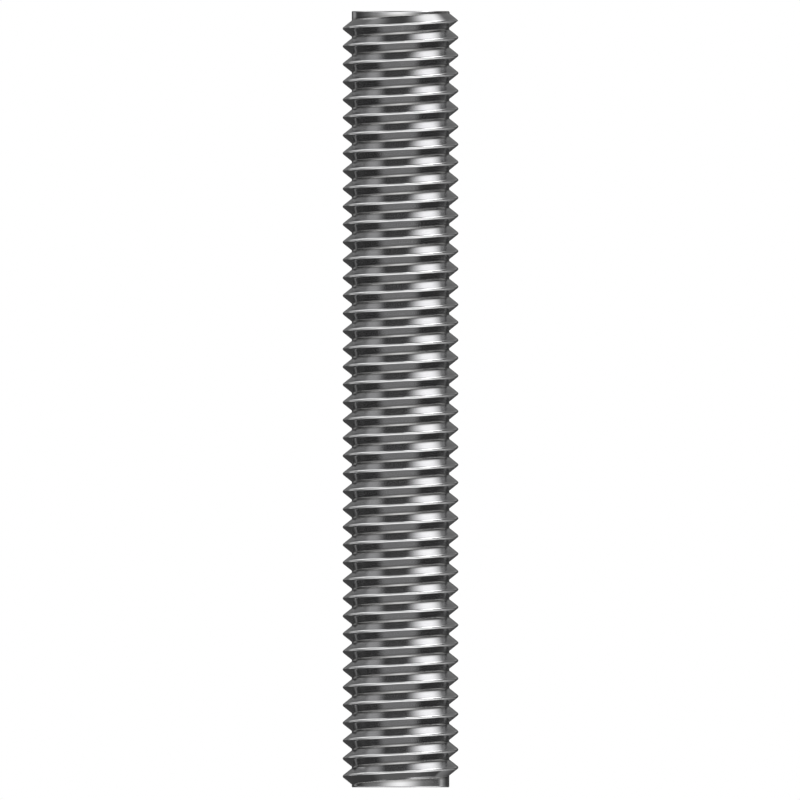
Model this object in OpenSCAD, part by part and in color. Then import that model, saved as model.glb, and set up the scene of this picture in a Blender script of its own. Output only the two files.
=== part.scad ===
// Threaded rod: a steel stud with one coarse right-hand thread along it and a
// short plain neck at each end. It stands on its end, with the origin at the
// middle of the bottom face and +Z up the axis. All lengths are in millimetres.

/* [Rod] */
// Length of the rod from end face to end face
rod_l = 65.4; // [30:0.2:120]
// Length of the plain neck at each end
neck_l = 0.2; // [0.2:0.05:0.6]
// Bevel around each end face
edge_bevel = 0.05; // [0.04:0.01:0.15]

/* [Thread] */
// Diameter over the crests
thread_d = 9.75; // [8:0.05:16]
// Rise of the thread in one turn, which is also the distance between crests
pitch = 1.5; // [1:0.05:2]
// Angle between the two flanks of a groove, in degrees
groove_angle = 77; // [60:1:90]
// Width of the flat along the crest
crest_w = 0.13; // [0.08:0.01:0.2]
// Width of the flat along the bottom of the groove
root_w = 0.15; // [0.08:0.01:0.25]
// Height at which the lowest crest passes the front of the rod
front_crest_z = 1.3; // [0.8:0.01:2]

/* [Run-out] */
// Distance from the bottom end at which the crest reaches its full height
full_from_bottom = 0.9; // [0.8:0.05:3]
// Distance from the top end at which the crest still has its full height
full_from_top = 0.7; // [0.7:0.05:3]
// Turn over which the crest fades away at each end, in degrees
fade_turn = 110; // [60:5:180]

/* [Hidden] */

// Flats around one turn of the thread
turn_steps = 28;
// Azimuth of the front of the rod
front_azimuth = -90;
// Room that the trimming outline leaves outside the crests, and outside the root
// along the neck
trim_margin = 0.5;
neck_margin = 0.03;

crest_r = thread_d / 2;
flank_rise = tan(groove_angle / 2);
thread_depth = (pitch - crest_w - root_w) / (2 * flank_rise);
root_r = crest_r - thread_depth;
neck_r = root_r + neck_margin;
fade_rise = pitch * fade_turn / 360;

// The thread is made longer than the rod at both ends, by whole turns
turns_below = ceil(front_crest_z / pitch) + 1;
start_z = front_crest_z - turns_below * pitch;
turns = ceil((rod_l - start_z) / pitch) + 1;
last_step = turns * turn_steps;

// Section of the ridge, from its lower foot over the crest to its upper foot:
// the height of each corner above the middle of the crest, and its share of
// the thread's depth
foot_z = (pitch - root_w) / 2;
ridge = [[-foot_z, 0], [-crest_w / 2, 1], [crest_w / 2, 1], [foot_z, 0]];
corners = len(ridge);

function crest_z(step) = start_z + pitch * step / turn_steps;

// 1 where the crest has its full height, falling to 0 towards both ends
function crest_share(z) =
    let (
        from_bottom = 1 - (full_from_bottom - z) / fade_rise,
        from_top = 1 - (full_from_top - (rod_l - z)) / fade_rise
    )
    max(0, min(1, from_bottom, from_top));

function ridge_point(step, corner) =
    let (
        azimuth = front_azimuth + 360 * step / turn_steps,
        z = crest_z(step),
        r = root_r + ridge[corner][1] * crest_share(z) * thread_depth
    )
    [r * cos(azimuth), r * sin(azimuth), z + ridge[corner][0]];

function index(step, corner) = corners * step + corner;

function two_triangles(a, b, c, d) = [[a, b, c], [a, c, d]];

// The thread before its ends are trimmed: four strips that wind up the rod, two
// flanks, the crest and the root that joins each turn to the next, and at each
// end a cap that fans out from a point on the axis
module endless_thread() {
    last_corner = corners - 1;
    bottom_point = index(last_step, last_corner) + 1;
    top_point = bottom_point + 1;
    points = [
        for (step = [0 : last_step], corner = [0 : last_corner]) ridge_point(step, corner),
        [0, 0, start_z],
        [0, 0, crest_z(last_step)]
    ];
    ridge_faces = [
        for (step = [0 : last_step - 1], corner = [0 : last_corner - 1])
            each two_triangles(
                index(step, corner), index(step, corner + 1),
                index(step + 1, corner + 1), index(step + 1, corner)
            )
    ];
    root_faces = [
        for (step = [0 : last_step - turn_steps - 1])
            each two_triangles(
                index(step, last_corner), index(step + turn_steps, 0),
                index(step + turn_steps + 1, 0), index(step + 1, last_corner)
            )
    ];
    bottom_rim = concat(
        [for (step = [0 : turn_steps]) index(step, 0)],
        [for (corner = [last_corner : -1 : 1]) index(0, corner)]
    );
    top_rim = concat(
        [for (step = [last_step : -1 : last_step - turn_steps]) index(step, last_corner)],
        [for (corner = [0 : last_corner - 1]) index(last_step, corner)]
    );
    polyhedron(
        points,
        concat(ridge_faces, root_faces, fan(bottom_point, bottom_rim), fan(top_point, top_rim)),
        convexity = 10
    );
}

// Triangles from one point to each side of a closed rim
function fan(point, rim) =
    [for (i = [0 : len(rim) - 1]) [point, rim[i], rim[(i + 1) % len(rim)]]];

// Half outline of the lower end: bevel, neck, and a cone at the flank's own
// slope that lets the thread begin
function end_outline() =
    let (trim_r = crest_r + trim_margin)
    [
        [root_r - edge_bevel, 0],
        [neck_r, edge_bevel + neck_margin],
        [neck_r, neck_l],
        [trim_r, neck_l + (trim_r - neck_r) * flank_rise]
    ];

module trimmed_length() {
    low = end_outline();
    high = [for (i = [len(low) - 1 : -1 : 0]) [low[i][0], rod_l - low[i][1]]];
    rotate_extrude($fn = 96) polygon(concat([[0, 0]], low, high, [[0, rod_l]]));
}

module threaded_rod() {
    color("darkgray") intersection() {
        endless_thread();
        trimmed_length();
    }
}

threaded_rod();
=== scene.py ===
"""Dresses a packed threaded rod: its smooth thread, its steel, and the studio it stands in."""

import math
from typing import NamedTuple

import bmesh
import bpy
import numpy as np
from bpy.props import FloatProperty, FloatVectorProperty, IntProperty, PointerProperty
from bpy.types import Operator, Panel, PropertyGroup
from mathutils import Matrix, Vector


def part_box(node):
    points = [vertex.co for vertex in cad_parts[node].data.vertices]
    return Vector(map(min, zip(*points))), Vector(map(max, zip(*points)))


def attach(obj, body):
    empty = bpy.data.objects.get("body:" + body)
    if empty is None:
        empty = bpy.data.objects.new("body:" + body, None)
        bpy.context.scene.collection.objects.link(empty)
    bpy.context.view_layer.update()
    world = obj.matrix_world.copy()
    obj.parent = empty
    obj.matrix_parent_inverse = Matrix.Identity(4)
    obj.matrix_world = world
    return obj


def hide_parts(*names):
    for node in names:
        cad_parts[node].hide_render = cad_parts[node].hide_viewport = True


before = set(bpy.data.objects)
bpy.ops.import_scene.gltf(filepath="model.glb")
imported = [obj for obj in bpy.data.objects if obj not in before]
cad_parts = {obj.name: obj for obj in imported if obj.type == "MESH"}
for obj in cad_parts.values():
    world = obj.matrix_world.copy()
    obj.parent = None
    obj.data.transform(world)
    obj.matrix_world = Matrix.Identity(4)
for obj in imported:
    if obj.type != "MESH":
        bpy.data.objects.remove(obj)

bl_info = {
    "name": "Threaded Rod",
    "version": (1, 0, 0),
    "blender": (4, 5, 0),
    "location": "3D View > Sidebar > Threaded Rod",
    "description": "Builds a steel threaded rod and the studio it stands in",
    "category": "Add Mesh",
}

NODE = "threaded_rod"

FULL_TURN = 2 * math.pi
# Azimuth of the front of the rod, which faces -Y
FRONT = -math.pi / 2
# How far the rows reach over a bend of the thread's section, in reaches of its rounding
BEND_ROOM = 1.35
# Angle past which an edge of the rod stays sharp
SHARP_ANGLE = math.radians(35)
# Places of the rod's materials in its mesh
ROLLED, TURNED = 0, 1

# Distance at which corners of the mesh are joined, in metres like all lengths here
WELD_DISTANCE = 1e-6
# Size of the soft clouds in the steel
CLOUD_SIZE = 0.004
# Size of the mottle in the floor's paper
MOTTLE_SIZE = 0.0025
# How far the floor lies under the rod
FLOOR_GAP = 0.00002
# The camera's distance from the rod, and the nearest and farthest that it sees
CAMERA_DISTANCE = 0.5
CAMERA_RANGE = (0.001, 10)

# The lightest and the darkest tone of a surface, in shares of its colour
ROLLED_TONES = (1.07, 0.93)
TURNED_TONES = (1.1, 0.85)
PAPER_TONES = (1, 0.97)

# Degrees between the tent's corners, and the shares of its radius behind and above
# the rod between which its back cloth grows lighter
TENT_STEP = 5
BACK_CLOTH_BEHIND = (0.1, 0.6)
BACK_CLOTH_ABOVE = (0.07, 0.25)

# Numbers of a Mix node's colour sockets, whose names it uses more than once
MIX_SHARE, MIX_FIRST, MIX_SECOND, MIX_RESULT = 0, 6, 7, 2

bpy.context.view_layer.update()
ROD_LOW, ROD_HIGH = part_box(NODE)
ROD_LENGTH = ROD_HIGH.z - ROD_LOW.z
ROD_MIDDLE = (ROD_LOW + ROD_HIGH) / 2
CREST_RADIUS = (ROD_HIGH.x - ROD_LOW.x) / 2


def length_property(name, description, default):
    """A length in metres that shows in the scene's own units."""
    return FloatProperty(
        name=name, description=description, default=default,
        min=0, precision=6, subtype="DISTANCE", unit="LENGTH",
    )


class ThreadSizes(PropertyGroup):
    """Sizes of the thread and of the rod's two ends."""

    pitch: length_property("Pitch", "Distance between neighbouring crests", 0.0015)
    groove_angle: FloatProperty(
        name="Groove angle", description="Angle between the two flanks of a groove",
        default=math.radians(77), subtype="ANGLE", unit="ROTATION",
    )
    crest_width: length_property("Crest width", "Width of the flat along the crest", 0.00013)
    root_width: length_property("Root width", "Width of the flat along the root", 0.00015)
    crest_round: length_property("Crest rounding", "Reach of the rounding at the crest", 0.00008)
    root_round: length_property("Root rounding", "Reach of the rounding at the root", 0.00001)
    first_crest: length_property(
        "First crest", "Height at which the lowest crest passes the front", 0.0013)
    full_from_bottom: length_property(
        "Full from bottom", "Height at which the crest reaches its full height", 0.0009)
    full_from_top: length_property(
        "Full from top", "Distance from the top end at which the crest is still full", 0.0007)
    fade_turn: FloatProperty(
        name="Fade turn", description="Turn over which the crest fades away at each end",
        default=math.radians(110), subtype="ANGLE", unit="ROTATION",
    )
    neck_length: length_property("Neck length", "Length of the plain neck at each end", 0.0002)
    neck_margin: length_property(
        "Neck margin", "Height that a ridge may keep along the neck", 0.00003)
    edge_bevel: length_property("Edge bevel", "Bevel around each end face", 0.00005)
    edge_round: length_property(
        "Edge rounding", "Reach of the rounding where the ends cut the thread", 0.00002)


class MeshDetail(PropertyGroup):
    """How finely the rod's surface is divided."""

    columns: IntProperty(
        name="Columns", description="Divisions around the rod", default=96, min=24)
    bend_rows: IntProperty(
        name="Bend rows", description="Rows over each bend of the thread's section", default=4, min=2)
    end_zone: length_property("End zone", "Height at each end that is divided by level rows", 0.0017)
    level_step: length_property("Level step", "Distance between the level rows", 0.000025)
    disc_rings: IntProperty(
        name="Disc rings", description="Rings across each end face", default=8, min=2)


def soft_min(a, b, reach):
    """The smaller of a and b, with the corner where they meet rounded off.

    Where they differ by less than reach, the square of what is left of reach,
    over four times reach, is taken away.
    """
    overlap = np.maximum(reach - np.abs(a - b), 0)
    return np.minimum(a, b) - overlap**2 / (4 * reach)


def soft_max(a, b, reach):
    """The larger of a and b, with the corner where they meet filled in."""
    return -soft_min(-a, -b, reach)


class ThreadShape:
    """The rod's surface as a radius that depends on azimuth and height."""

    def __init__(self, sizes):
        self.sizes = sizes
        self.flank_rise = math.tan(sizes.groove_angle / 2)
        self.foot = (sizes.pitch - sizes.root_width) / 2
        self.depth = (sizes.pitch - sizes.crest_width - sizes.root_width) / (2 * self.flank_rise)
        self.root_radius = CREST_RADIUS - self.depth
        self.neck_radius = self.root_radius + sizes.neck_margin

    def wound_height(self, azimuth, height):
        """Height above the lowest crest with the thread unwound: a turn takes away one pitch."""
        return height - self.sizes.first_crest - self.sizes.pitch * (azimuth - FRONT) / FULL_TURN

    def crest_share(self, crest_height):
        """1 along the full thread, falling evenly to 0 over the fade's rise at both ends."""
        fade_rise = self.sizes.pitch * self.sizes.fade_turn / FULL_TURN
        from_bottom = 1 - (self.sizes.full_from_bottom - crest_height) / fade_rise
        from_top = 1 - (self.sizes.full_from_top - (ROD_LENGTH - crest_height)) / fade_rise
        return np.clip(np.minimum(from_bottom, from_top), 0, 1)

    def trim_radius(self, height):
        """The radius that the ends are cut to: the smaller of a bevel, and a neck or a cone.

        The bevel grows as fast as the distance from the end. The cone grows at
        a flank's own slope, and begins where the neck ends.
        """
        sizes = self.sizes
        from_end = np.minimum(height, ROD_LENGTH - height)
        cone = self.neck_radius + (from_end - sizes.neck_length) / self.flank_rise
        bevel = self.root_radius - sizes.edge_bevel + from_end
        neck_and_cone = soft_max(cone, np.full_like(cone, self.neck_radius), sizes.edge_round)
        return np.minimum(neck_and_cone, bevel)

    def radius(self, azimuth, height):
        """Root radius plus the ridge's height, cut by the trimmed ends.

        The ridge's height falls from its crest by the distance along the rod
        over the tangent of half the groove's angle. It is held between nothing
        and the thread's depth, with both corners rounded, and scaled by the
        share that is left of the crest near the ends.
        """
        sizes = self.sizes
        wound = self.wound_height(azimuth, height)
        from_crest = wound - sizes.pitch * np.round(wound / sizes.pitch)
        flank = (self.foot - np.abs(from_crest)) / self.flank_rise
        ridge = soft_max(flank, np.zeros_like(flank), sizes.root_round)
        ridge = soft_min(ridge, np.full_like(flank, self.depth), sizes.crest_round)
        ridge = ridge * self.crest_share(height - from_crest)
        return soft_min(self.root_radius + ridge, self.trim_radius(height), sizes.edge_round)

    def points(self, azimuth, height):
        """Points of the surface for arrays of azimuth and height, centred on the rod's axis.

        X is the radius times the azimuth's cosine, and Y the radius times its sine.
        """
        radius = self.radius(azimuth, height)
        x, y = radius * np.cos(azimuth), radius * np.sin(azimuth)
        return np.stack([x, y, ROD_LOW.z + height], axis=-1)


def column_azimuths(columns):
    """Azimuths of the columns, with the first one repeated at the end."""
    return FRONT + FULL_TURN * (np.arange(columns + 1) % columns) / columns


def level_zone(shape, detail, low, high):
    """Level rows from low to high: azimuth along a row, height from row to row."""
    rows = max(2, round((high - low) / detail.level_step)) + 1
    azimuth, height = np.meshgrid(column_azimuths(detail.columns), np.linspace(low, high, rows))
    return shape.points(azimuth, height), height


def winding_zone(shape, detail, low, high):
    """Rows that wind up the rod with the thread, held between low and high.

    A row keeps its place on the ridge: its height grows by one pitch a turn.
    Rows are close together over the bends at the crest and at the root, and
    there are none between them, where the surface is straight. They reach a
    little past each bend, so that the flanks keep their own slope in the light.
    """
    sizes = shape.sizes
    room = BEND_ROOM * shape.flank_rise
    crest = np.linspace(0, sizes.crest_width / 2 + room * sizes.crest_round, detail.bend_rows + 1)
    root = shape.foot + room * sizes.root_round * np.linspace(-1, 1, detail.bend_rows)
    half = np.concatenate([crest, root, [sizes.pitch / 2]])
    one_pitch = np.concatenate([half, sizes.pitch - half[-2:0:-1]])
    first = math.floor((low - sizes.first_crest) / sizes.pitch) - 1
    last = math.ceil((high - sizes.first_crest) / sizes.pitch)
    turns = sizes.pitch * np.arange(first, last + 1)[:, None]
    row_height = sizes.first_crest + (turns + one_pitch[None, :]).ravel()
    row_height = np.append(row_height, sizes.first_crest + sizes.pitch * (last + 1))
    climb = sizes.pitch * np.arange(detail.columns + 1) / detail.columns
    height = np.clip(row_height[:, None] + climb[None, :], low, high)
    return shape.points(column_azimuths(detail.columns), height), height


def end_disc(shape, detail, height):
    """A flat disc: its radius shrinks in even steps from the bevel's edge to the middle."""
    azimuth = column_azimuths(detail.columns)
    share = np.linspace(1, 0, detail.disc_rings + 1)
    rim = shape.points(azimuth, np.full_like(azimuth, height))
    points = np.repeat(rim[None], len(share), axis=0)
    points[..., :2] *= share[:, None, None]
    return points, np.full(points.shape[:2], height)


def grid_faces(rows, columns, start, upward):
    """Corner numbers of the squares of a grid, each turning the same way round."""
    corner = start + np.arange(rows * columns).reshape(rows, columns)
    faces = np.stack([corner[:-1, :-1], corner[:-1, 1:], corner[1:, 1:], corner[1:, :-1]], axis=-1)
    faces = faces.reshape(-1, 4)
    return faces if upward else faces[:, ::-1]


def thread_coordinates(shape, columns, squares, height):
    """Where each face corner lies on the thread: metres wound along it, and metres across it.

    The distance along is the azimuth, counted on through every turn, times the
    crest's radius. The distance across is the height above the nearest crest of
    the face's middle, so one face never reaches over two turns.
    """
    pitch = shape.sizes.pitch
    column = squares % columns
    turned = FULL_TURN * column / (columns - 1)
    level = height.ravel()[squares]
    wound = level - shape.sizes.first_crest - pitch * turned / FULL_TURN
    turn = np.round(wound.mean(axis=1, keepdims=True) / pitch)
    along = (turned + FULL_TURN * turn) * CREST_RADIUS
    return np.stack([along, wound - pitch * turn], axis=-1).reshape(-1, 2)


def weld(mesh):
    """Joins corners that lie in one place, and makes sure that the surface is closed."""
    work = bmesh.new()
    work.from_mesh(mesh)
    bmesh.ops.remove_doubles(work, verts=work.verts, dist=WELD_DISTANCE)
    open_edges = sum(1 for edge in work.edges if len(edge.link_faces) != 2)
    if open_edges:
        raise RuntimeError(f"{mesh.name} has {open_edges} open edges")
    for face in work.faces:
        face.smooth = True
    work.to_mesh(mesh)
    work.free()
    mesh.set_sharp_from_angle(angle=SHARP_ANGLE)


def rod_mesh(name, sizes, detail):
    """One closed mesh: two end discs, two level zones and the winding zone between them."""
    shape = ThreadShape(sizes)
    zone = detail.end_zone
    grids = [
        (end_disc(shape, detail, 0.0), False, TURNED),
        (level_zone(shape, detail, 0.0, zone), True, ROLLED),
        (winding_zone(shape, detail, zone, ROD_LENGTH - zone), True, ROLLED),
        (level_zone(shape, detail, ROD_LENGTH - zone, ROD_LENGTH), True, ROLLED),
        (end_disc(shape, detail, ROD_LENGTH), True, TURNED),
    ]
    points, faces, along, materials = [], [], [], []
    start = 0
    for (grid, height), upward, material in grids:
        rows, columns = grid.shape[:2]
        squares = grid_faces(rows, columns, start, upward)
        points.append(grid.reshape(-1, 3))
        faces.append(squares)
        along.append(thread_coordinates(shape, columns, squares - start, height))
        materials.append(np.full(len(squares), material))
        start += rows * columns
    points = np.concatenate(points)
    points[:, :2] += ROD_MIDDLE[:2]
    faces = np.concatenate(faces)
    mesh = bpy.data.meshes.new(name)
    mesh.vertices.add(len(points))
    mesh.vertices.foreach_set("co", points.ravel())
    mesh.loops.add(faces.size)
    mesh.loops.foreach_set("vertex_index", faces.ravel())
    mesh.polygons.add(len(faces))
    mesh.polygons.foreach_set("loop_start", np.arange(0, faces.size, 4))
    mesh.polygons.foreach_set("material_index", np.concatenate(materials))
    mesh.uv_layers.new(name="along_thread").data.foreach_set("uv", np.concatenate(along).ravel())
    mesh.update(calc_edges=True)
    weld(mesh)
    return mesh


class Signal:
    """The value of one shader socket. Sums and products of signals add Math nodes."""

    def __init__(self, graph, socket):
        self.graph = graph
        self.socket = socket

    def __add__(self, other):
        return self.graph.math("ADD", self, other)

    def __radd__(self, other):
        return self.graph.math("ADD", other, self)

    def __sub__(self, other):
        return self.graph.math("SUBTRACT", self, other)

    def __rsub__(self, other):
        return self.graph.math("SUBTRACT", other, self)

    def __mul__(self, other):
        return self.graph.math("MULTIPLY", self, other)

    def __rmul__(self, other):
        return self.graph.math("MULTIPLY", other, self)

    def __abs__(self):
        return self.graph.math("ABSOLUTE", self)

    def larger(self, other):
        """The larger of the two values."""
        return self.graph.math("MAXIMUM", self, other)

    def rise(self, low, high):
        """0 below low and 1 above high, with an even S between them."""
        inputs = {"Value": self, "From Min": low, "From Max": high}
        return self.graph.node("ShaderNodeMapRange", {"interpolation_type": "SMOOTHSTEP"}, inputs)


class Graph:
    """The nodes of one material or world."""

    def __init__(self, owner):
        owner.use_nodes = True
        self.tree = owner.node_tree
        self.tree.nodes.clear()

    def node(self, kind, settings=None, inputs=None, output=0):
        """Adds a node, sets its settings and then its sockets, and returns one output, if any."""
        node = self.tree.nodes.new(kind)
        for name, value in (settings or {}).items():
            setattr(node, name, value)
        for name, value in (inputs or {}).items():
            if isinstance(value, Signal):
                self.tree.links.new(value.socket, node.inputs[name])
            else:
                node.inputs[name].default_value = value
        return Signal(self, node.outputs[output]) if len(node.outputs) else None

    def math(self, operation, *values):
        """A Math node on the values, in their order."""
        return self.node("ShaderNodeMath", {"operation": operation}, dict(enumerate(values)))

    def noise(self, place, scale, detail):
        """Noise around 0, from about -0.5 to 0.5."""
        inputs = {"Vector": place, "Scale": scale, "Detail": detail}
        return self.node("ShaderNodeTexNoise", {"noise_dimensions": "3D"}, inputs) - 0.5

    def mix(self, share, first, second):
        """The first colour where share is 0 and the second where it is 1."""
        settings = {"data_type": "RGBA", "clamp_factor": True}
        inputs = {MIX_SHARE: share, MIX_FIRST: first, MIX_SECOND: second}
        return self.node("ShaderNodeMix", settings, inputs, MIX_RESULT)

    def split(self, vector):
        """The three components of a vector."""
        node = self.node("ShaderNodeSeparateXYZ", None, {"Vector": vector}).socket.node
        return [Signal(self, socket) for socket in node.outputs]

    def combine(self, x, y, z):
        """A vector of three components."""
        return self.node("ShaderNodeCombineXYZ", None, {"X": x, "Y": y, "Z": z})


def color_property(name, description, default):
    """A colour that shows as a swatch."""
    return FloatVectorProperty(
        name=name, description=description, default=default, subtype="COLOR", size=3, min=0, max=1)


def share_property(name, description, default):
    """A number from 0 to 1."""
    return FloatProperty(name=name, description=description, default=default, min=0, max=1)


class SteelFinish(PropertyGroup):
    """Colour and finish of the steel, with a painted highlight along the crest and painted shade in
    the roots.
    """

    color: color_property("Steel", "Colour of the bare steel", (0.58, 0.58, 0.585))
    # Painted highlight: a lighter steel colour along the crest stands in for the light that the crest
    # catches
    crest_highlight_color: color_property("Crest", "Colour of the burnished crest", (0.74, 0.74, 0.745))
    # Painted shade: a darker colour in the roots stands in for the shade in the grooves
    root_shade_color: color_property(
        "Root film", "Colour of the thin film left in the roots", (0.34, 0.337, 0.33))
    # How far the crest's painted highlight reaches over the crest
    crest_highlight_cover: share_property("Crest cover", "How much of the crest is burnished", 0.9)
    # How far the painted shade covers the roots
    root_shade_cover: share_property("Film cover", "How much of the root the film covers", 0.8)
    streak_tone: share_property("Streak tone", "How much the rolling marks shift the colour", 0.9)
    cloud_tone: share_property("Cloud tone", "How much the soft clouds shift the colour", 0.8)
    roughness: share_property("Roughness", "Roughness of the rolled thread", 0.1)
    end_roughness: share_property("End roughness", "Roughness of the turned ends", 0.26)
    streak_length: length_property("Streak length", "Length of the rolling marks", 0.003)
    streak_width: length_property("Streak width", "Width of the rolling marks", 0.00007)
    streak_depth: length_property("Streak depth", "Depth of the rolling marks", 0.00000025)
    feed: length_property("Feed", "Distance between the turning marks of the ends", 0.00011)
    feed_depth: length_property("Feed depth", "Depth of the turning marks of the ends", 0.0000015)


def toned(color, share):
    """The colour times the share, with no part of it over 1, as a shader takes it."""
    return (*(min(1, share * part) for part in color), 1)


def metal(graph, color, roughness, height, depth):
    """A bare metal surface whose bump is as deep as depth where height goes from 0 to 1."""
    normal = graph.node("ShaderNodeBump", None, {"Strength": 1.0, "Distance": depth, "Height": height})
    shader = graph.node("ShaderNodeBsdfPrincipled", None, {
        "Base Color": color, "Metallic": 1.0, "Roughness": roughness, "Normal": normal})
    graph.node("ShaderNodeOutputMaterial", None, {"Surface": shader})


def rolled_steel(finish, sizes):
    """Steel of the rolled thread.

    Rolling leaves fine streaks along the thread: noise drawn out along its
    length. They shift the colour, the roughness and the height a little. Soft
    clouds do the same over a few turns. A painted highlight lightens the crest's
    colour on its flat, and less and less for one width of it to each side. Painted
    shade darkens the root's colour, beginning one and a half of its widths from its
    middle. A number in front of a mark is its weight.
    """
    material = bpy.data.materials.new("rolled_steel")
    graph = Graph(material)
    wound = graph.node("ShaderNodeUVMap", {"uv_map": "along_thread"})
    along, across, _ = graph.split(wound)
    lengthwise = along * (1 / finish.streak_length)
    crosswise = across * (1 / finish.streak_width)
    streaks = graph.noise(graph.combine(lengthwise, crosswise, 0.0), 1.0, 2.0)
    place = graph.node("ShaderNodeTexCoord", output="Object")
    clouds = graph.noise(place, 1 / CLOUD_SIZE, 2.0)
    from_crest = abs(across)
    # Where the crest's painted highlight and the root's painted shade lie; they also set the roughness
    # there
    crest = 1 - from_crest.rise(0.5 * sizes.crest_width, 1.5 * sizes.crest_width)
    root = from_crest.rise(0.5 * sizes.pitch - 1.5 * sizes.root_width, 0.5 * sizes.pitch)
    light, dark = (toned(finish.color, share) for share in ROLLED_TONES)
    tone = 0.5 + finish.streak_tone * streaks + finish.cloud_tone * clouds
    bare = graph.mix(tone, dark, light)
    # Painted highlight: the lighter crest colour is mixed in along the crest
    crest_highlight = crest * (finish.crest_highlight_cover + 0.4 * streaks)
    highlighted = graph.mix(crest_highlight, bare, toned(finish.crest_highlight_color, 1))
    # Painted shade: the darker colour is mixed in along the roots, where the groove is shaded
    shade = root * (finish.root_shade_cover + 0.6 * clouds)
    color = graph.mix(shade, highlighted, toned(finish.root_shade_color, 1))
    roughness = finish.roughness + 0.07 * streaks + 0.06 * clouds + 0.06 * root - 0.02 * crest
    metal(graph, color, roughness, streaks, finish.streak_depth)
    return material


def turned_steel(finish):
    """Steel of the two end faces, with the rings that the turning tool left around the axis.

    The rings are the sine of the distance from the axis, one to each feed of
    the tool, and noise along the same distance makes them uneven.
    """
    material = bpy.data.materials.new("turned_steel")
    graph = Graph(material)
    place = graph.node("ShaderNodeTexCoord", output="Object")
    x, y, _ = graph.split(place)
    aside, ahead = x - ROD_MIDDLE.x, y - ROD_MIDDLE.y
    from_axis = graph.math("SQRT", aside * aside + ahead * ahead)
    clouds = graph.noise(place, 1 / CLOUD_SIZE, 3.0)
    rings = graph.math("SINE", from_axis * (FULL_TURN / finish.feed))
    ring_place = graph.combine(from_axis * (1 / finish.feed), 0.0, 0.0)
    uneven = graph.noise(ring_place, 0.7, 2.0)
    light, dark = (toned(finish.color, share) for share in TURNED_TONES)
    tone = 0.5 + 0.5 * uneven + finish.cloud_tone * clouds + 0.1 * rings
    color = graph.mix(tone, dark, light)
    roughness = finish.end_roughness + 0.1 * uneven + 0.08 * clouds
    metal(graph, color, roughness, 0.5 + 0.5 * rings + 0.5 * uneven, finish.feed_depth)
    return material


class MakeRod(Operator):
    """Builds the rod's smooth thread and ends and gives them their steel."""

    bl_idname = "threaded_rod.make_rod"
    bl_label = "Make rod"

    def execute(self, context):
        scene = context.scene
        mesh = rod_mesh("steel_rod", scene.thread_sizes, scene.mesh_detail)
        rod = bpy.data.objects.new("steel_rod", mesh)
        scene.collection.objects.link(rod)
        mesh.materials.append(rolled_steel(scene.steel_finish, scene.thread_sizes))
        mesh.materials.append(turned_steel(scene.steel_finish))
        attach(rod, "root")
        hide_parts(NODE)
        return {"FINISHED"}


class Softbox(NamedTuple):
    """A flat lamp that faces the rod's middle. Angles are in degrees.

    Azimuth turns from the front towards the right, elevation is above the
    horizon, width and height are as seen from the rod, and a brightness of 1 is
    white.
    """

    name: str
    azimuth: float
    elevation: float
    width: float
    height: float
    brightness: float


class Pool(NamedTuple):
    """A pool of light on the tent's cloth, in degrees as for a softbox.

    Its light falls off in an even S over twice a softness around each edge. Tilt
    is how much its elevation rises with each degree of azimuth.
    """

    azimuth: float
    elevation: float
    width: float
    height: float
    brightness: float
    side_softness: float
    end_softness: float = 2
    tilt: float = 0


SOFTBOXES = (
    Softbox("left_box", -80, 43, 56, 34, 1.1),
    Softbox("left_side_box", -125, 32, 26, 30, 0.6),
    Softbox("right_box", 90, 54, 38, 20, 2.4),
    Softbox("front_box", 44, 48, 50, 24, 2.4),
    Softbox("front_strip", -20, 42, 48, 24, 0.8),
)
POOLS = (
    # In front of the rod, from high to low
    Pool(-4, 20, 90, 16, 0.37, 14, tilt=0.04),
    Pool(-2, 1, 62, 18, 1.3, 31, 2),
    Pool(-3, 1, 170, 10, 0.2, 30, 1),
    Pool(-4, -23, 70, 10, 0.05, 20),
    Pool(12, -51, 176, 40, 1.6, 50, 2),
    # To its left
    Pool(-56, 6, 34, 6, 0.8, 8, 1),
    Pool(-68, -9, 60, 7, 0.95, 14, 1.5, tilt=-0.07),
    Pool(-65, -19, 34, 14, 0.66, 16, tilt=-0.1),
    Pool(-103, -13.5, 56, 8, 0.28, 7, 1.5, tilt=-0.27),
    # To its right
    Pool(62, 8, 44, 6, 0.6, 12, 1),
    Pool(69, -14.5, 64, 9, 2.7, 26, 1, tilt=0.21),
    # Behind it on the left, where the flanks on that side mirror each other
    Pool(-112, -20.5, 31, 9, 1.5, 7, 1, tilt=-0.2),
    Pool(-143, 2, 26, 7, 0.3, 8, 1.5, tilt=-0.3),
    Pool(-146, 58, 50, 16, 0.2, 15, 6),
    # Behind it on the right
    Pool(122, 1, 18, 5, 0.33, 8, 1),
    Pool(132, -28, 50, 28, 0.25, 14, 2),
    Pool(143, 11, 32, 8, 0.14, 9, 2, tilt=0.28),
    Pool(146, 59, 50, 24, 1.3, 15, 8),
    # Straight below
    Pool(0, -90, 400, 48, 0.1, 5, 6),
)


class StudioSettings(PropertyGroup):
    """Framing and light of the studio."""

    view_width: length_property("View width", "Width of what the camera sees", 0.0674)
    camera_left: length_property("Camera left", "How far the camera stands left of the rod", 0.000045)
    camera_drop: length_property("Camera drop", "How far the camera stands below the middle", 0.000067)
    lamp_distance: length_property("Lamp distance", "Distance of the softboxes from the rod", 0.9)
    tent_radius: length_property("Tent radius", "Radius of the dark tent around the rod", 1.2)
    ambient: share_property("Ambient light", "Light that the white room adds to the floor", 0.5)
    cloth: share_property("Cloth", "Brightness of the tent's dark cloth", 0.065)
    back_cloth: share_property(
        "Back cloth", "Brightness that the cloth gains behind and above the rod", 0.13)
    floor_color: color_property("Floor", "Colour of the floor", (0.82, 0.82, 0.82))


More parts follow.
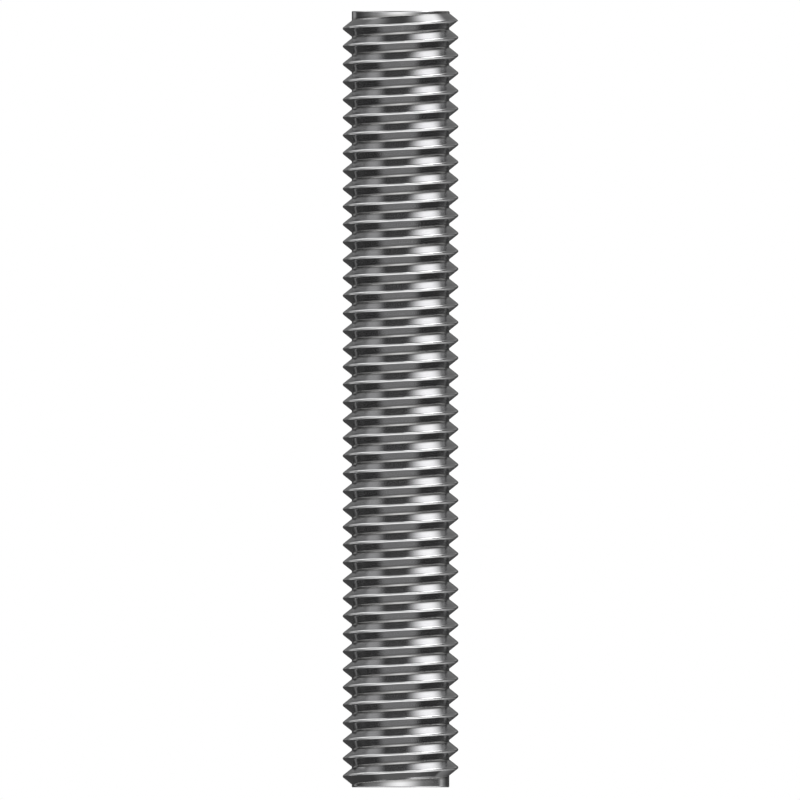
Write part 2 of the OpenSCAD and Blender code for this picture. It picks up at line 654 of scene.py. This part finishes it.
def direction(azimuth, elevation):
    """The direction of an azimuth and an elevation in degrees, as arrays or as numbers."""
    turn, lift = np.radians(azimuth), np.radians(elevation)
    flat = np.cos(lift)
    return np.stack([flat * np.sin(turn), -flat * np.cos(turn), np.sin(lift)], axis=-1)


def stage_surface(name, points):
    """A surface of the stage on a grid of points."""
    squares = grid_faces(*points.shape[:2], 0, True)
    mesh = bpy.data.meshes.new(name)
    mesh.from_pydata(points.reshape(-1, 3).tolist(), [], squares.tolist())
    surface = bpy.data.objects.new(name, mesh)
    bpy.context.scene.collection.objects.link(surface)
    return surface


def make_floor(settings):
    """A level square just under the rod, out to twice the tent's radius, of matt mottled paper."""
    reach = 2 * settings.tent_radius
    aside, ahead = np.meshgrid([-reach, reach], [-reach, reach])
    points = np.stack([aside, ahead, np.full(aside.shape, ROD_LOW.z - FLOOR_GAP)], axis=-1)
    floor = stage_surface("floor", points)
    material = bpy.data.materials.new("floor_paper")
    graph = Graph(material)
    place = graph.node("ShaderNodeTexCoord", output="Object")
    mottle = graph.noise(place, 1 / MOTTLE_SIZE, 3.0)
    light, dark = (toned(settings.floor_color, share) for share in PAPER_TONES)
    color = graph.mix(0.5 + mottle, dark, light)
    paper = graph.node("ShaderNodeBsdfPrincipled", None, {
        "Base Color": color, "Roughness": 1.0, "Specular IOR Level": 0.0})
    graph.node("ShaderNodeOutputMaterial", None, {"Surface": paper})
    floor.data.materials.append(material)
    floor.visible_glossy = False
    floor.visible_shadow = False


def window(angle, middle, width, softness):
    """1 inside a window of angles and 0 outside, with soft edges.

    The angle is in radians, and the numbers are in degrees. The light falls
    between the window's half width less its softness and the same plus it.
    """
    half, soft = math.radians(width / 2), math.radians(softness)
    return 1 - abs(angle - math.radians(middle)).rise(half - soft, half + soft)


def tent_cloth(settings):
    """Cloth that glows: dark all round, lighter behind and above the rod, bright in its pools."""
    material = bpy.data.materials.new("tent_cloth")
    graph = Graph(material)
    place = graph.node("ShaderNodeTexCoord", output="Object")
    aside, ahead, up = graph.split(place)
    up = (up - ROD_MIDDLE.z) * (1 / settings.tent_radius)
    behind = ahead * (1 / settings.tent_radius)
    azimuth = graph.math("ARCTAN2", aside, -1 * ahead)
    elevation = graph.math("ARCSINE", up)
    back = behind.rise(*BACK_CLOTH_BEHIND) * up.rise(*BACK_CLOTH_ABOVE)
    level = settings.cloth + settings.back_cloth * back
    for pool in POOLS:
        lifted = elevation - pool.tilt * (azimuth - math.radians(pool.azimuth))
        across = window(azimuth, pool.azimuth, pool.width, pool.side_softness)
        along = window(lifted, pool.elevation, pool.height, pool.end_softness)
        level += pool.brightness * across * along
    glow = graph.node("ShaderNodeBsdfPrincipled", None, {
        "Base Color": (0, 0, 0, 1), "Roughness": 1.0, "Specular IOR Level": 0.0,
        "Emission Color": level, "Emission Strength": 1.0})
    graph.node("ShaderNodeOutputMaterial", None, {"Surface": glow})
    return material


def make_tent(settings):
    """A ball of cloth around the rod and its lamps. Only reflections see it."""
    azimuth, elevation = np.meshgrid(
        np.arange(-180, 181, TENT_STEP), np.arange(-90, 91, TENT_STEP))
    points = np.array(ROD_MIDDLE) + settings.tent_radius * direction(azimuth, elevation)
    tent = stage_surface("tent", points)
    tent.data.materials.append(tent_cloth(settings))
    tent.visible_camera = False
    tent.visible_diffuse = False
    tent.visible_shadow = False


def hang_softbox(box, distance):
    """An area lamp of the size that the box's angles give at its distance.

    The lamp's power is its brightness times its area times pi.
    """
    data = bpy.data.lights.new(box.name, "AREA")
    data.shape = "RECTANGLE"
    data.size = 2 * distance * math.tan(math.radians(box.width / 2))
    data.size_y = 2 * distance * math.tan(math.radians(box.height / 2))
    data.energy = math.pi * data.size * data.size_y * box.brightness
    lamp = bpy.data.objects.new(box.name, data)
    towards = Vector(direction(box.azimuth, box.elevation))
    lamp.location = ROD_MIDDLE + distance * towards
    lamp.rotation_euler = towards.to_track_quat("Z", "Y").to_euler()
    lamp.visible_camera = False
    bpy.context.scene.collection.objects.link(lamp)


def white_room(settings):
    """A world that the camera and reflections see white, with ambient light for all else."""
    world = bpy.data.worlds.new("white_room")
    graph = Graph(world)
    path = graph.node("ShaderNodeLightPath").socket.node.outputs
    seen = Signal(graph, path["Is Camera Ray"])
    for ray in ("Is Glossy Ray", "Is Transmission Ray"):
        seen = seen.larger(Signal(graph, path[ray]))
    strength = settings.ambient + (1 - settings.ambient) * seen
    room = graph.node("ShaderNodeBackground", None, {"Color": (1, 1, 1, 1), "Strength": strength})
    graph.node("ShaderNodeOutputWorld", None, {"Surface": room})
    return world


def make_camera(settings):
    """A level camera without perspective, in front of the rod."""
    data = bpy.data.cameras.new("camera")
    data.type = "ORTHO"
    data.ortho_scale = settings.view_width
    data.clip_start, data.clip_end = CAMERA_RANGE
    camera = bpy.data.objects.new("camera", data)
    offset = Vector((-settings.camera_left, -CAMERA_DISTANCE, -settings.camera_drop))
    camera.location = ROD_MIDDLE + offset
    camera.rotation_euler = (math.pi / 2, 0, 0)
    bpy.context.scene.collection.objects.link(camera)
    return camera


class MakeStudio(Operator):
    """Sets up the floor, the tent, the lamps, the white room and the camera."""

    bl_idname = "threaded_rod.make_studio"
    bl_label = "Make studio"

    def execute(self, context):
        scene = context.scene
        settings = scene.studio_settings
        make_floor(settings)
        make_tent(settings)
        for box in SOFTBOXES:
            hang_softbox(box, settings.lamp_distance)
        scene.world = white_room(settings)
        scene.camera = make_camera(settings)
        scene.view_settings.view_transform = "Standard"
        return {"FINISHED"}


class StudioPanel(Panel):
    """Lists the rod's settings and the steps that build it."""

    bl_idname = "VIEW3D_PT_threaded_rod"
    bl_label = "Threaded Rod"
    bl_space_type = "VIEW_3D"
    bl_region_type = "UI"
    bl_category = "Threaded Rod"

    def draw(self, context):
        """Draws each group of settings in a box, and the steps below them."""
        for name in GROUPS:
            group = getattr(context.scene, name)
            box = self.layout.box()
            for field in group.__annotations__:
                box.prop(group, field)
        for operator in OPERATORS:
            self.layout.operator(operator.bl_idname)


GROUPS = {
    "thread_sizes": ThreadSizes,
    "mesh_detail": MeshDetail,
    "steel_finish": SteelFinish,
    "studio_settings": StudioSettings,
}
OPERATORS = (MakeRod, MakeStudio)


def register():
    """Registers the classes and puts the settings on the scene."""
    for group in GROUPS.values():
        bpy.utils.register_class(group)
    for name, group in GROUPS.items():
        setattr(bpy.types.Scene, name, PointerProperty(type=group))
    for each in (*OPERATORS, StudioPanel):
        bpy.utils.register_class(each)


def unregister():
    """Takes away what register added."""
    for each in (StudioPanel, *reversed(OPERATORS)):
        bpy.utils.unregister_class(each)
    for name in GROUPS:
        delattr(bpy.types.Scene, name)
    for group in GROUPS.values():
        bpy.utils.unregister_class(group)


def main():
    """Builds the rod and its studio."""
    register()
    bpy.ops.threaded_rod.make_rod()
    bpy.ops.threaded_rod.make_studio()


if __name__ == "__main__":
    main()
